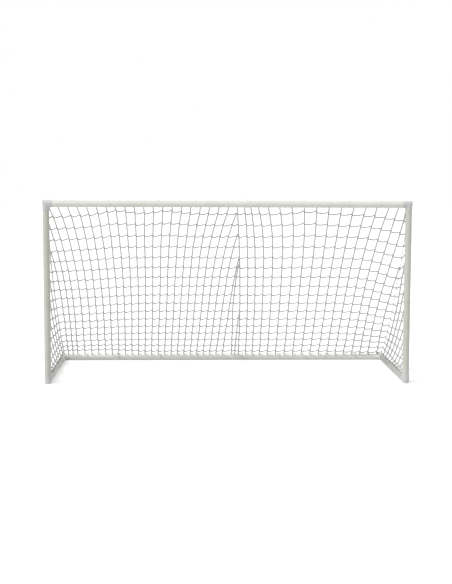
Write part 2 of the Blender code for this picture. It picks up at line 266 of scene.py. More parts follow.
def plastic(name, color, dark, roughness, streaks):
    """Moulded or drawn plastic: faint mottling, handling marks, dust near the ground and a fine
    surface. streaks is the strength of the lines that drawing leaves along a tube."""
    material, nodes, shader = new_material(name)
    place = nodes.add("ShaderNodeTexCoord").outputs["Object"]
    around = nodes.add("ShaderNodeTexCoord").outputs["UV"]
    clouds = nodes.noise(place, scale=7.0, detail=4.0)
    specks = nodes.ramp(nodes.noise(place, scale=260.0, detail=2.0), [(0.30, 1.0), (0.42, 0.0)])
    lines = nodes.noise(nodes.stretched(around, STREAK_STRETCH), scale=1.0, detail=2.0)
    rubbed = nodes.ramp(nodes.noise(place, scale=31.0, detail=5.0), [(0.56, 0.0), (0.72, 1.0)])
    height = nodes.add("ShaderNodeSeparateXYZ", Vector=place).outputs["Z"]
    low = nodes.map_range(height, 0.0, DUST_HEIGHT, 1.0, 0.0)
    settled = nodes.ramp(nodes.noise(place, scale=55.0, detail=5.0), [(0.40, 0.0), (0.75, 1.0)])
    dust = nodes.math("MULTIPLY", low, settled)
    base = nodes.tint((*color, 1), nodes.map_range(clouds, 0.35, 0.70, 0.0, 1.0), (*dark, 1))
    for mask, share, mark in ((specks, SPECK_SHARE, SPECK_COLOR),
                              (rubbed, RUBBED_SHARE, RUBBED_COLOR),
                              (dust, DUST_SHARE, DUST_COLOR)):
        base = nodes.tint(base, nodes.math("MULTIPLY", mask, share), mark)
    if streaks:
        base = nodes.tint(base, nodes.map_range(lines, 0.45, 0.75, 0.0, streaks), STREAK_COLOR)
    nodes.feed(shader.inputs["Base Color"], base)
    handled = nodes.noise(place, scale=90.0, detail=4.0)
    rough = nodes.map_range(handled, 0.3, 0.7, roughness - 0.06, roughness + 0.08)
    nodes.feed(shader.inputs["Roughness"], rough)
    grain = nodes.noise(place, scale=1400.0, detail=2.0)
    relief = nodes.math("MULTIPLY_ADD", lines, 1.0 if streaks else 0.0, grain)
    bump = nodes.add("ShaderNodeBump", Height=relief, Strength=0.12, Distance=0.0004)
    nodes.feed(shader.inputs["Normal"], bump.outputs["Normal"])
    return material


# Net cord. Stretches are repeats round the cord and per metre along it.
TWIST_STRETCH = (0.95, 48.0, 1.0)
FIBRE_STRETCH = (14.0, 400.0, 1.0)
CORD_COLOR = (0.72, 0.72, 0.72)
CORD_GROOVE_SHADE = (0.43, 0.43, 0.43)
CORD_WORN = (0.60, 0.60, 0.59, 1)
CORD_FIBRE = (0.51, 0.51, 0.51, 1)


def cord_material():
    """Twisted white cord: slanting strands, painted shade in the grooves between them, and greyer,
    worn parts.
    """
    material, nodes, shader = new_material("net_cord_fibre")
    around = nodes.add("ShaderNodeTexCoord").outputs["UV"]
    place = nodes.add("ShaderNodeTexCoord").outputs["Object"]
    strands = nodes.add("ShaderNodeTexWave", {"wave_profile": "SIN"}, Scale=1.0, Distortion=0.3)
    nodes.feed(strands.inputs["Vector"], nodes.stretched(around, TWIST_STRETCH))
    twist = strands.outputs["Fac"]
    fibres = nodes.noise(nodes.stretched(around, FIBRE_STRETCH), scale=1.0, detail=3.0)
    worn = nodes.noise(place, scale=9.0, detail=4.0)
    # Painted shade: the grooves between the strands are darker.
    base = nodes.ramp(twist, [(0.05, CORD_GROOVE_SHADE), (0.55, CORD_COLOR)])
    base = nodes.tint(base, nodes.map_range(worn, 0.40, 0.70, 0.0, 0.35), CORD_WORN)
    base = nodes.tint(base, nodes.map_range(fibres, 0.40, 0.75, 0.0, 0.20), CORD_FIBRE)
    nodes.feed(shader.inputs["Base Color"], base)
    nodes.feed(shader.inputs["Roughness"], nodes.map_range(fibres, 0.3, 0.7, 0.62, 0.86))
    relief = nodes.math("MULTIPLY_ADD", fibres, 0.25, twist)
    bump = nodes.add("ShaderNodeBump", Height=relief, Strength=0.8, Distance=0.0006)
    nodes.feed(shader.inputs["Normal"], bump.outputs["Normal"])
    return material


SCRATCH_STRETCH = (300.0, 300.0, 60.0)
STEEL_COLOR = (0.55, 0.55, 0.57, 1)
STEEL_STAIN = (0.36, 0.33, 0.30, 1)


def steel_material():
    material, nodes, shader = new_material("bright_spring_steel")
    place = nodes.add("ShaderNodeTexCoord").outputs["Object"]
    scratches = nodes.noise(nodes.stretched(place, SCRATCH_STRETCH), scale=1.0, detail=4.0)
    stains = nodes.noise(place, scale=120.0, detail=4.0)
    base = nodes.tint(STEEL_COLOR, nodes.map_range(stains, 0.45, 0.75, 0.0, 0.5), STEEL_STAIN)
    nodes.feed(shader.inputs["Base Color"], base)
    shader.inputs["Metallic"].default_value = 1.0
    nodes.feed(shader.inputs["Roughness"], nodes.map_range(scratches, 0.3, 0.7, 0.22, 0.42))
    bump = nodes.add("ShaderNodeBump", Height=scratches, Strength=0.2, Distance=0.0001)
    nodes.feed(shader.inputs["Normal"], bump.outputs["Normal"])
    return material


# The tubes differ in shade, as in the photograph.
# They are lit and shaded copies of one off-white plastic: painted shade on the posts, the right
# side bar and the corner fittings, and painted light on the rear bar and its corners.
tube_plastic = plastic(
    "drawn_tube_plastic", (0.78, 0.785, 0.72), (0.72, 0.725, 0.66), 0.36, DRAWN)
# Painted shade: the posts take a darker copy of the tube plastic.
shaded_post_plastic = plastic(
    "drawn_post_plastic_painted_shade", (0.60, 0.61, 0.54), (0.55, 0.56, 0.49), 0.42, DRAWN)
# Painted light: the rear bar and its coupler take a lighter copy of the tube plastic, for the light
# thrown up from the floor.
lit_rear_bar_plastic = plastic(
    "drawn_rear_bar_plastic_painted_light", (0.96, 0.96, 0.92), (0.91, 0.91, 0.87), 0.36, DRAWN)
# Painted shade: the right side bar takes a darker copy of the tube plastic.
shaded_side_bar_plastic = plastic(
    "drawn_side_bar_plastic_painted_shade", (0.50, 0.50, 0.46), (0.45, 0.45, 0.42), 0.42, DRAWN)
# A greyer moulded plastic for the top and foot corners, made darker still as painted shade.
grey_shaded_fitting_plastic = plastic(
    "moulded_grey_fitting_plastic_painted_shade", (0.63, 0.63, 0.63), (0.57, 0.57, 0.57), 0.42, MOULDED)
# Painted light: the rear corners take a lighter copy, as light as the rear bar, against the shade
# of the corner.
lit_rear_fitting_plastic = plastic(
    "moulded_rear_fitting_plastic_painted_light", (0.92, 0.92, 0.89), (0.87, 0.87, 0.84), 0.42, MOULDED)
button_plastic = plastic(
    "moulded_button_plastic", (0.68, 0.69, 0.68), (0.60, 0.61, 0.60), 0.48, MOULDED)
clip_plastic = plastic(
    "moulded_clip_plastic", (0.78, 0.79, 0.73), (0.70, 0.71, 0.66), 0.46, MOULDED)
net_cord = cord_material()
spring_steel = steel_material()


def make_stage():
    """A wide pale floor, a white surround and soft light from the upper left of the front."""
    shape = bmesh.new()
    bmesh.ops.create_grid(shape, x_segments=1, y_segments=1, size=FLOOR_HALF)
    mesh = to_mesh("studio_floor", shape)
    floor = link(bpy.data.objects.new("studio_floor", mesh))
    material, nodes, shader = new_material("studio_floor")
    nodes.tree.nodes.remove(shader)
    pale = nodes.add("ShaderNodeBsdfDiffuse", Color=FLOOR_COLOR)
    strength = nodes.math("MULTIPLY", seen_directly(nodes), FLOOR_LIFT)
    lift = nodes.add("ShaderNodeEmission", Strength=strength)
    both = nodes.add("ShaderNodeAddShader")
    nodes.feed(both.inputs[0], pale.outputs[0])
    nodes.feed(both.inputs[1], lift.outputs[0])
    nodes.feed(nodes.tree.nodes["Material Output"].inputs["Surface"], both.outputs[0])
    mesh.materials.append(material)

    world = bpy.data.worlds.new("studio")
    bpy.context.scene.world = world
    world.use_nodes = True
    nodes = Nodes(world.node_tree)
    background = world.node_tree.nodes["Background"]
    strength = nodes.map_range(seen_directly(nodes), 0.0, 1.0, AMBIENT, 1.0)
    nodes.feed(background.inputs["Strength"], strength)
    background.inputs["Color"].default_value = (1, 1, 1, 1)

    data = bpy.data.lights.new("soft_sun", "SUN")
    data.energy = SUN * pi
    data.angle = SUN_ANGLE
    sun = link(bpy.data.objects.new("soft_sun", data))
    sun.rotation_euler = SUN_FROM.to_track_quat("Z", "Y").to_euler()


def finish_mesh(name, mesh, material, nodes, sharp=SHARP_TUBE, body=ROOT):
    """Makes a piece of the mesh, smooth except at sharp edges, on a body and for its nodes."""
    mesh.shade_smooth()
    mesh.set_sharp_from_angle(angle=radians(sharp))
    mesh.materials.clear()
    mesh.materials.append(material)
    piece = link(bpy.data.objects.new(name, mesh))
    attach(piece, body)
    if nodes:
        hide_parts(*nodes)
    return piece


def soften(piece):
    """Keeps the shading of long flat faces even next to holes and ends."""
    piece.modifiers.new("shading", "WEIGHTED_NORMAL").keep_sharp = True


def axes_matrix(place, along, side):
    """A frame at place with its Z axis along the tube and its X axis to the side."""
    cross = along.cross(side)
    return Matrix.Translation(place) @ Matrix((side, cross, along)).transposed().to_4x4()


def turned(profile, sides, matrix, closed=True):
    """A profile of (radius, height) points turned round the Z axis, with a map in metres."""
    shape = bmesh.new()
    layer = shape.loops.layers.uv.new("UVMap")
    turns = [2 * pi * k / sides for k in range(sides)]
    rings = [[shape.verts.new((radius * cos(a), radius * sin(a), height)) for a in turns]
             for radius, height in profile]
    length = 0.0
    for first, second in zip(range(len(profile)), range(1, len(profile) + closed)):
        second %= len(profile)
        step = (Vector(profile[second]) - Vector(profile[first])).length
        widest = max(profile[first][0], profile[second][0])
        for k in range(sides):
            after = (k + 1) % sides
            corners = (rings[first][k], rings[second][k], rings[second][after], rings[first][after])
            face = shape.faces.new(corners)
            places = ((k, 0), (k, step), (k + 1, step), (k + 1, 0))
            for loop, (turn, down) in zip(face.loops, places):
                loop[layer].uv = (2 * pi * widest * turn / sides, length + down)
        length += step
    bmesh.ops.remove_doubles(shape, verts=shape.verts, dist=WELD)
    bmesh.ops.transform(shape, matrix=matrix, verts=shape.verts)
    bmesh.ops.recalc_face_normals(shape, faces=shape.faces)
    return shape


def loose_object(name, shape):
    """An object that isn't part of the goal, for the cuts."""
    return link(bpy.data.objects.new(name, to_mesh(name, shape)))


def cut_mesh(name, shape, cutters):
    """The bmesh with the cutters taken off it, as a mesh."""
    body = loose_object(name + "_uncut", shape)
    for cutter in cutters:
        boolean = body.modifiers.new(cutter.name, "BOOLEAN")
        boolean.operation = "DIFFERENCE"
        boolean.solver = "EXACT"
        boolean.object = cutter
    graph = bpy.context.evaluated_depsgraph_get()
    mesh = bpy.data.meshes.new_from_object(body.evaluated_get(graph))
    bpy.data.objects.remove(body, do_unlink=True)
    return mesh


SIDES = (("left", -X), ("right", X))
TUBES = [f"{bar}_{side}" for bar in ("crossbar", "post", "side_bar", "rear_bar")
         for side, _ in SIDES]


def tube_line(node):
    """Where a tube's centre line starts, its direction, its length and its radius."""
    low, high = box_of(node)
    size = high - low
    axis = max(range(3), key=lambda k: size[k])
    start, end = (low + high) / 2, (low + high) / 2
    start[axis], end[axis] = low[axis], high[axis]
    line = end - start
    return start, line.normalized(), line.length, size[(axis + 1) % 3] / 2


*_, TUBE_RADIUS = tube_line("post_left")
FITTING_RADIUS = box_of("top_corner_left")[1].z - box_of("post_left")[1].z - SHOULDER + GAP
POST_X = centre("post_right").x
BAR_Z = centre("crossbar_left").z
GROUND_Z = centre("rear_bar_left").z
FRONT_Y = centre("crossbar_left").y
REAR_Y = centre("rear_bar_left").y
PLUG_RADIUS = TUBE_RADIUS - TUBE_WALL - SLIDE_FIT
BORE_RADIUS = PLUG_RADIUS - PLUG_WALL
HOLE_DEPTH = 2 * TUBE_RADIUS  # of the cutter for a button's hole
HOLE_START = BORE_RADIUS * 0.6  # off the axis, so that one wall is cut

OUT_COUNTS = 0.1

# A lock button: its name, its place on the tube's axis, the way out and the way along.
Lock = namedtuple("Lock", "name place out along")


def off_axis(point, node, out):
    """A point's distance off a tube's line and past its ends. Little counts along the way out."""
    start, along, length, _ = tube_line(node)
    away = point - start
    away -= out * away.dot(out)
    distance = away.dot(along)
    past = max(0.0, -distance, distance - length)
    return (away - along * distance).length + past + abs((point - start).dot(out)) * OUT_COUNTS


def buttons():
    found = []
    for joint in frame["joints"]:
        name = joint["child"]
        out = -Vector(joint["axis"])
        middle = centre(name)
        host = min(TUBES, key=lambda node: off_axis(middle, node, out))
        start, along, *_ = tube_line(host)
        found.append(Lock(name, start + along * (middle - start).dot(along), out, along))
    return found


LOCKS = buttons()


def locks_in(node):
    """The lock buttons whose place is inside the node's box."""
    low, high = box_of(node)
    return [lock for lock in LOCKS
            if all(low[k] - BOX_ROOM <= lock.place[k] <= high[k] + BOX_ROOM for k in range(3))]


def hole_cutter(lock):
    shape = bmesh.new()
    radius = BUTTON_RADIUS + BUTTON_PLAY
    bmesh.ops.create_cone(
        shape, cap_ends=True, segments=BUTTON_SIDES, radius1=radius, radius2=radius,
        depth=HOLE_DEPTH, matrix=Matrix.Translation((0, 0, HOLE_START + HOLE_DEPTH / 2)))
    matrix = axes_matrix(lock.place, lock.out, lock.along)
    bmesh.ops.transform(shape, matrix=matrix, verts=shape.verts)
    return loose_object("cut_" + lock.name, shape)


def with_rings(radius, heights, marks, down):
    """Extra profile points on a straight stretch, on both sides of each mark."""
    low, high = min(heights) + RING_ROOM, max(heights) - RING_ROOM
    offsets = (-HOLE_BAND, -HOLE_BAND / 2, HOLE_BAND / 2, HOLE_BAND)
    found = [mark + offset for mark in marks for offset in offsets if low < mark + offset < high]
    return [(radius, height) for height in sorted(found, reverse=down)]


def plastic_of(node):
    """The plastic of a tube, or of a coupler's collar between two: a copy with painted shade for
    the posts and the right side bar, and one with painted light for the rear bar.
    """
    if node == "side_bar_right":
        return shaded_side_bar_plastic
    kind = node.rsplit("_", 1)[0]
    return {"post": shaded_post_plastic, "rear_bar": lit_rear_bar_plastic}.get(kind, tube_plastic)


def make_tubes(cutters):
    for node in TUBES:
        start, along, length, radius = tube_line(node)
        side = Z if abs(along.z) < 0.5 else X
        bore = radius - TUBE_WALL
        c = END_CHAMFER
        locks = locks_in(node)
        marks = [(lock.place - start).dot(along) for lock in locks]
        profile = [
            (radius - c, length),
            (radius, length - c),
            *with_rings(radius, (c, length - c), marks, True),
            (radius, c),
            (radius - c, 0),
            (bore + c, 0),
            (bore, c),
            *with_rings(bore, (c, length - c), marks, False),
            (bore, length - c),
            (bore + c, length),
        ]
        shape = turned(profile, TUBE_SIDES, axes_matrix(start, along, side))
        mesh = cut_mesh(node, shape, [cutters[lock.name] for lock in locks])
        soften(finish_mesh("tube_" + node, mesh, plastic_of(node), [node]))


def plug_profile(far, near, radius, mark):
    """One plug-in end: the plug beyond its shoulder at far, and a body from there to near."""
    tip = far + PLUG_LENGTH
    b = SHOULDER_BEVEL
    turns = (k * pi / 2 / SHOULDER_STEPS for k in range(SHOULDER_STEPS + 1))
    return [
        (BORE_RADIUS + PLUG_EDGE, tip),
        (PLUG_RADIUS - PLUG_LEAD_IN / 2, tip),
        (PLUG_RADIUS, tip - PLUG_LEAD_IN),
        *with_rings(PLUG_RADIUS, (far, tip), [mark], True),
        (PLUG_RADIUS, far),
        *((radius - b + b * sin(a), far - b + b * cos(a)) for a in turns),
        (radius, near),
    ]


def mitred(profile, place, first, second):
    """A turned arm along the first direction, cut at the mitre and mirrored to the second."""
    shape = turned(profile, TUBE_SIDES, axes_matrix(place, first, second))
    normal = (first - second).normalized()
    everything = shape.verts[:] + shape.edges[:] + shape.faces[:]
    bmesh.ops.bisect_plane(
        shape, geom=everything, dist=WELD, plane_co=place, plane_no=normal, clear_inner=True)
    everything = shape.verts[:] + shape.edges[:] + shape.faces[:]
    copied = bmesh.ops.duplicate(shape, geom=everything)["geom"]
    for vert in (item for item in copied if isinstance(item, bmesh.types.BMVert)):
        vert.co -= 2 * (vert.co - place).dot(normal) * normal
    faces = [item for item in copied if isinstance(item, bmesh.types.BMFace)]
    bmesh.ops.reverse_faces(shape, faces=faces)
    bmesh.ops.remove_doubles(shape, verts=shape.verts, dist=MITRE_WELD)
    ridge = [edge for edge in shape.edges if on_ridge(edge, place, normal)]
    bmesh.ops.bevel(
        shape, geom=ridge, offset=RIDGE_BEVEL, segments=2, affect="EDGES", profile=0.5)
    return shape


def on_ridge(edge, place, normal):
    """Whether an edge lies on the outer sharp part of the mitre."""
    for vert in edge.verts:
        away = vert.co - place
        if abs(away.dot(normal)) > MITRE_WELD or away.length < FITTING_RADIUS * RIDGE_REACH:
            return False
    return len(edge.link_faces) == 2 and edge.calc_face_angle(0) > RIDGE_ANGLE


# Each kind of corner: its centre's Y and Z, and its two arms' directions by the way out.
CORNERS = {
    "top_corner": (FRONT_Y, BAR_Z, lambda out: (-out, -Z)),
    "foot_corner": (FRONT_Y, GROUND_Z, lambda out: (Z, Y)),
    "rear_corner": (REAR_Y, GROUND_Z, lambda out: (-Y, -out)),
}


def ground_cutter():
    """A slab below the ground, for the flat soles of the fittings on it."""
    depth = 0.2
    shape = bmesh.new()
    bmesh.ops.create_cube(shape, size=1)
    bmesh.ops.scale(shape, verts=shape.verts, vec=(2 * POST_X + 1, 3, depth))
    bmesh.ops.translate(shape, verts=shape.verts, vec=(0, 0, -depth / 2))
    return loose_object("cut_below_ground", shape)


def finish_fitting(node, mesh, material):
    name = "fitting_" + node
    soften(finish_mesh(name, mesh, material, [node], SHARP_FITTING))


def make_corners(cutters):
    ground = ground_cutter()
    for kind, (y, z, ways_of) in CORNERS.items():
        for side, out in SIDES:
            node = f"{kind}_{side}"
            place = POST_X * out + Vector((0, y, z))
            locks = locks_in(node)
            reach = (locks[0].place - place).length
            profile = plug_profile(SHOULDER, -2 * FITTING_RADIUS, FITTING_RADIUS, reach)
            profile += [(BORE_RADIUS, -2 * FITTING_RADIUS),
                        (BORE_RADIUS, SHOULDER + PLUG_LENGTH - PLUG_EDGE)]
            shape = mitred(profile, place, *ways_of(out))
            taken = [cutters[lock.name] for lock in locks]
            if kind != "top_corner":
                taken.append(ground)
            mesh = cut_mesh(node, shape, taken)
            # Painted light on the rear corners, painted shade on the others.
            material = lit_rear_fitting_plastic if kind == "rear_corner" else grey_shaded_fitting_plastic
            finish_fitting(node, mesh, material)
    bpy.data.objects.remove(ground, do_unlink=True)


def make_couplers(cutters):
    """The middle joints: a sleeve in both tubes, with a thin collar between them."""
    for bar, y, z, side in (("crossbar", FRONT_Y, BAR_Z, Z), ("rear_bar", REAR_Y, GROUND_Z, Y)):
        node = bar + "_coupler"
        place = Vector((0, y, z))
        locks = locks_in(node)
        reach = (locks[0].place - place).length
        above = plug_profile(COLLAR_WIDTH / 2, 0, TUBE_RADIUS, reach)[:-1]
        below = [(radius, -height) for radius, height in reversed(above)]
        shape = turned(above + below, TUBE_SIDES, axes_matrix(place, X, side))
        mesh = cut_mesh(node, shape, [cutters[lock.name] for lock in locks])
        finish_fitting(node, mesh, plastic_of(node))


def make_buttons():
    """Lock buttons with a domed crown, a small dimple in it and a flange behind the bore."""
    for name, place, out, along in LOCKS:
        foot, top = sorted((corner - place).dot(out) for corner in box_of(name))
        crown = []
        for k in range(CROWN_STEPS + 1):
            a = pi / 2 * k / CROWN_STEPS
            crown.append((BUTTON_RADIUS * sin(a), top - BUTTON_CROWN * (1 - cos(a))))
        dimple = [(0.0, top - DIMPLE_DEPTH), (DIMPLE_RADIUS, top - DIMPLE_DEPTH / 2)]
        flange = foot + BUTTON_FLANGE_THICKNESS
        profile = dimple + crown[2:]
        profile += [
            (BUTTON_RADIUS, flange),
            (BUTTON_FLANGE_RADIUS - BUTTON_EDGE, flange),
            (BUTTON_FLANGE_RADIUS, flange - BUTTON_EDGE),
            (BUTTON_FLANGE_RADIUS, foot),
            (0.0, foot),
        ]
        shape = turned(profile, BUTTON_SIDES, axes_matrix(place, out, along), closed=False)
        piece = "lock_" + name
        mesh = to_mesh(piece, shape)
        finish_mesh(piece, mesh, button_plastic, [name], body=name)


def make_springs():
    """Strip springs: the solids' spring meshes, copied in spring steel in their place."""
    for name, place, out, _ in LOCKS:
        node = name.replace("button_", "spring_", 1)
        mesh = frame["nodes"][node].data.copy()
        mesh.materials.clear()
        mesh.materials.append(spring_steel)
        piece = link(bpy.data.objects.new("strip_" + node, mesh))
        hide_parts(node)
        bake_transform(piece)


def make_frame():
    cutters = {lock.name: hole_cutter(lock) for lock in LOCKS}
    make_tubes(cutters)
    make_corners(cutters)
    make_couplers(cutters)
    for cutter in cutters.values():
        bpy.data.objects.remove(cutter, do_unlink=True)
    make_buttons()
    make_springs()


# The net. A place on its back panel is an X and a share of the way down, from the crossbar
# to the rear bar.
CLIP_RADIUS = TUBE_RADIUS + GAP + CLIP_WALL
HOOK_HALF = CORD / 2 + GAP
HOOK_RADIUS = HOOK_HALF * sqrt(2)
CORD_OFFSET = CLIP_RADIUS + HOOK_RADIUS
NET_FRONT = FRONT_Y + CORD_OFFSET
NET_FLOOR = GROUND_Z + CORD_OFFSET
EDGE_TOP = POST_X - CORD - GAP

# Its rows and columns, as read from the photograph.
ROWS = 17
FIRST_ROW = 0.0366  # share of the way down
ROW_STEP = 0.0582
LEFT_COLUMNS = 23
RIGHT_COLUMNS = 16
# Each loose column's share of the way down where it leaves the seam, and how far it gets.
LOOSE_COLUMNS = ((0.30, 0.080), (0.62, 0.042))
LOOSE_FALL = 0.30  # share of the way down in which it gets there
FIRST_TIE = 1.733  # height on the posts of the first row's end
TIE_STEP = 0.108
SIDE_COLUMNS = 10
SIDE_PITCH = 0.28  # between a side panel's slanting cords, at the top
SIDE_PITCH_LESS = 0.14  # at the ground
SIDE_REACH = 0.95  # share of a row that slanting cords may cross

# How the columns hang.
SEAM_X = 0.09  # at the crossbar
SEAM_DRIFT, SEAM_FADE = 0.094, 0.45
EDGE_DRIFT = 0.16  # how far the outer columns come in on the way down
LEFT_BOW, LEFT_BOW_POWER = 0.118, 0.7
LEFT_PITCH = 0.0745
LEFT_PITCH_MORE, LEFT_PITCH_FADE = 0.0241, 0.25  # near the crossbar
LEFT_SPREAD, LEFT_SPREAD_COLUMNS = 0.036, 4
LEFT_OUTER_PITCH, LEFT_OUTER_LESS = 0.072, 0.018
RIGHT_BOW, RIGHT_BOW_POWER, RIGHT_OUTWARD_POWER = 0.08, 0.8, 1.1
RIGHT_OUTER_PITCH = 0.104
CROWD, CROWD_SHARES, CROWD_FADE = 0.125, (0.35, 0.65), 0.12
CROWD_PEAK = 0.25  # of the way from the seam to the outer column
RIGHT_SPREAD = 0.05
SEAM_ROOM = 0.012  # between a seam and a column that comes out from behind it
START_ROOM = 0.01  # share of the way down from there to its first row
COLUMN_WANDER = 0.004

# How the rows hang.
RAISED = (-1.15, -0.63, 0.84)  # where clips hold the first rows up
RAISED_REACH = 0.17
RAISED_SHARE, RAISED_ROWS = 0.014, 2.5
TOP_DROP, TOP_DROP_ROWS = 0.0075, 1.2
OUTER_FROM, OUTER_LENGTH = 1.2, 0.65
OUTER_DROP = 0.0175
OUTER_LEFT_LESS, OUTER_LEFT_ROWS = 0.003, 0.8
LOW_FROM, LOW_LENGTH, LOW_POWER = 0.80, 0.18, 1.5
LEFT_FROM, LEFT_LENGTH = -0.9, 0.4
LEFT_DROP, LEFT_LOW_RISE = 0.010, 0.024
RIGHT_FROM, RIGHT_LENGTH, RIGHT_POWER = 1.45, 0.35, 1.3
RIGHT_DROP, RIGHT_DROP_POWER = 0.045, 0.8
ROW_WANDER = 0.0022
LEVEL_DROOP, DROOP_VARIES = 0.075, 0.045  # of a level cord's length
ROW_LIFT = 0.010  # how far off its knots a row's cord leaves and arrives
CLOSE_KNOTS = 0.03  # nearer than this, it doesn't
END_ROOM = 0.01  # between a side row's last knot and its end
SIDE_WANDER = 0.006

# Its cords.
MESH_RADIUS = 0.0071
SEAM_RADIUS = {-1: 0.0068, 1: 0.0030}
TAIL_RADIUS = 0.0024
TAIL_STEP = 9  # degrees round the bar
TAIL_POINTS = 8
TAIL_LEAN = 0.0012
BORDER_RADIUS = 0.0021
BORDER_STEPS = 90
BORDER_DOWN_STEPS = 45
BORDER_BACK_STEPS = 36
CORD_SIDES = 6
COLUMN_STEPS = 3  # from knot to knot
ROW_STEPS = 4

# Its knots.
KNOT_TURNS = 1.6
KNOT_HEIGHT = 0.010
KNOT_STEPS = 11
KNOT_SIDES = 5
KNOT_RADIUS = 0.0024
KNOT_SINK = 0.0004
KNOT_BULGE = 0.0012
KNOT_LEAN = Vector((0, 0.3, 1))
TIE_LEAN = Vector((1, 0, 0.2))
TIE_SIZE = 1.1
FOOT_SIZE = 1.25
CORNER_SIZE = 1.3


def sag_table(steps=800):
    """Points on the back panel's sag line, and how far along it each is."""
    start = Vector((NET_FRONT, BAR_Z))
    end = Vector((REAR_Y, NET_FLOOR))
    ends = (start, start + Vector(NET_SAG_TOP), end + Vector(NET_SAG_FOOT), end)
    points = []
    for i in range(steps + 1):
        t = i / steps
        weights = ((1 - t) ** 3, 3 * t * (1 - t) ** 2, 3 * t * t * (1 - t), t**3)
        points.append(sum((w * p for w, p in zip(weights, ends)), Vector((0, 0))))
    lengths = lengths_along(points)
    return points, [length / lengths[-1] for length in lengths]


SAG_POINTS, SAG_SHARES = sag_table()


def on_back(x, down):
    """The place on the back panel at a share of the way down."""
    down = within_one(down)
    k = min(bisect.bisect_right(SAG_SHARES, down), len(SAG_SHARES) - 1)
    before, after = SAG_SHARES[k - 1], SAG_SHARES[k]
    y, z = SAG_POINTS[k - 1].lerp(SAG_POINTS[k], (down - before) / (after - before))
    return Vector((x, y, z))


def corner_seam(side, _):
    """The panel's edge, where it meets the side panel."""
    return side * EDGE_TOP


def gathered(down):
    """The seam right of the middle, where the panel's two halves meet."""
    return SEAM_X + SEAM_DRIFT * (1 - exp(-down / SEAM_FADE))


def left_column(i, down):
    """A column's X. Column 0 hangs from the crossbar's left end, and column 22 is next to the
    seam. The ones below 0 come out from behind the panel's edge lower down."""
    first = -EDGE_TOP + EDGE_DRIFT * down + LEFT_BOW * sin(pi * down**LEFT_BOW_POWER)
    if i < 0:
        return first + i * (LEFT_OUTER_PITCH - LEFT_OUTER_LESS * down)
    pitch = LEFT_PITCH + LEFT_PITCH_MORE * exp(-down / LEFT_PITCH_FADE)
    return first + i * pitch + LEFT_SPREAD * down * (1 - exp(-i / LEFT_SPREAD_COLUMNS))


def loose_column(i, down):
    """A column that leaves the seam low down and hangs close to it."""
    start, reach = LOOSE_COLUMNS[i]
    return gathered(down) - reach * within_one((down - start) / LOOSE_FALL) ** 0.6


def right_column(i, down):
    """A column's X. Column 0 is the seam, and near the crossbar the others crowd towards it. The
    ones past 16 come out from behind the panel's edge lower down."""
    bow = sin(pi * down**RIGHT_BOW_POWER)
    last = EDGE_TOP - EDGE_DRIFT * down - RIGHT_BOW * bow
    outward = RIGHT_BOW * (bow - sin(pi * down**RIGHT_OUTWARD_POWER))
    if i > RIGHT_COLUMNS:
        return last + outward + RIGHT_OUTER_PITCH * (i - RIGHT_COLUMNS)
    u = i / RIGHT_COLUMNS
    near = exp(-down / CROWD_FADE)
    peak = u / CROWD_PEAK
    crowd = CROWD * (CROWD_SHARES[0] + CROWD_SHARES[1] * near) * peak**2 * exp(2 - 2 * peak)
    spread = RIGHT_SPREAD * near * sin(pi * u**4)
    return gathered(down) + (last - gathered(down)) * u - crowd + spread + outward * u**10


def start_of(place_of, i, steps=400):
    """The share of the way down at which a column comes out from behind a seam."""
    for k in range(steps):
        down = k / steps
        x = place_of(i, down)
        inside = abs(x) < EDGE_TOP - SEAM_ROOM
        if inside and (place_of is right_column or x < gathered(down) - SEAM_ROOM):
            return down
    return 1.0


# Each column's place, number and start.
COLUMNS = [(corner_seam, -1, 0.0)]
COLUMNS += [(left_column, i, start_of(left_column, i)) for i in range(-2, LEFT_COLUMNS)]
COLUMNS += [(loose_column, i, start) for i, (start, _) in enumerate(LOOSE_COLUMNS)]
COLUMNS += [(right_column, i, start_of(right_column, i)) for i in range(RIGHT_COLUMNS + 2)]
COLUMNS += [(corner_seam, 1, 0.0)]


def row_down(row, x):
    """A row's share of the way down at X: held up near the clips, and lower towards the posts."""
    below = row - 1
    down = FIRST_ROW + ROW_STEP * below
    held = sum(exp(-(((x - clip) / RAISED_REACH) ** 2)) for clip in RAISED)
    down += (TOP_DROP * exp(-below / TOP_DROP_ROWS)
             - RAISED_SHARE * exp(-below / RAISED_ROWS) * held)
    outer = within_one((abs(x) - OUTER_FROM) / OUTER_LENGTH)
    less = OUTER_LEFT_LESS * exp(-below / OUTER_LEFT_ROWS) * (x < 0)
    down += outer * (OUTER_DROP - less)
    low = max((down - LOW_FROM) / LOW_LENGTH, 0.0) ** LOW_POWER
    left = within_one((LEFT_FROM - x) / LEFT_LENGTH)
    down += left * (LEFT_DROP * sin(pi * min(down, 1.0)) - LEFT_LOW_RISE * low)
    right = max((x - RIGHT_FROM) / RIGHT_LENGTH, 0.0) ** RIGHT_POWER
    down += RIGHT_DROP * right * sin(pi * min(down, 1.0) ** RIGHT_DROP_POWER)
    return down + ROW_WANDER * noise.noise(Vector((1.7 * x, 2.3 * row, 0.4)))


def column_knot(column, row):
    """Where a row crosses a column, or nothing where the column hasn't started."""
    place_of, i, start = column
    down = FIRST_ROW + ROW_STEP * (row - 1)
    for _ in range(3):
        down = row_down(row, place_of(i, down))
    if down < start + START_ROOM:
        return None
    wander = COLUMN_WANDER * noise.noise(Vector((0.9 * i, 1.3 * row, 5.1)))
    return on_back(place_of(i, down) + wander, down)


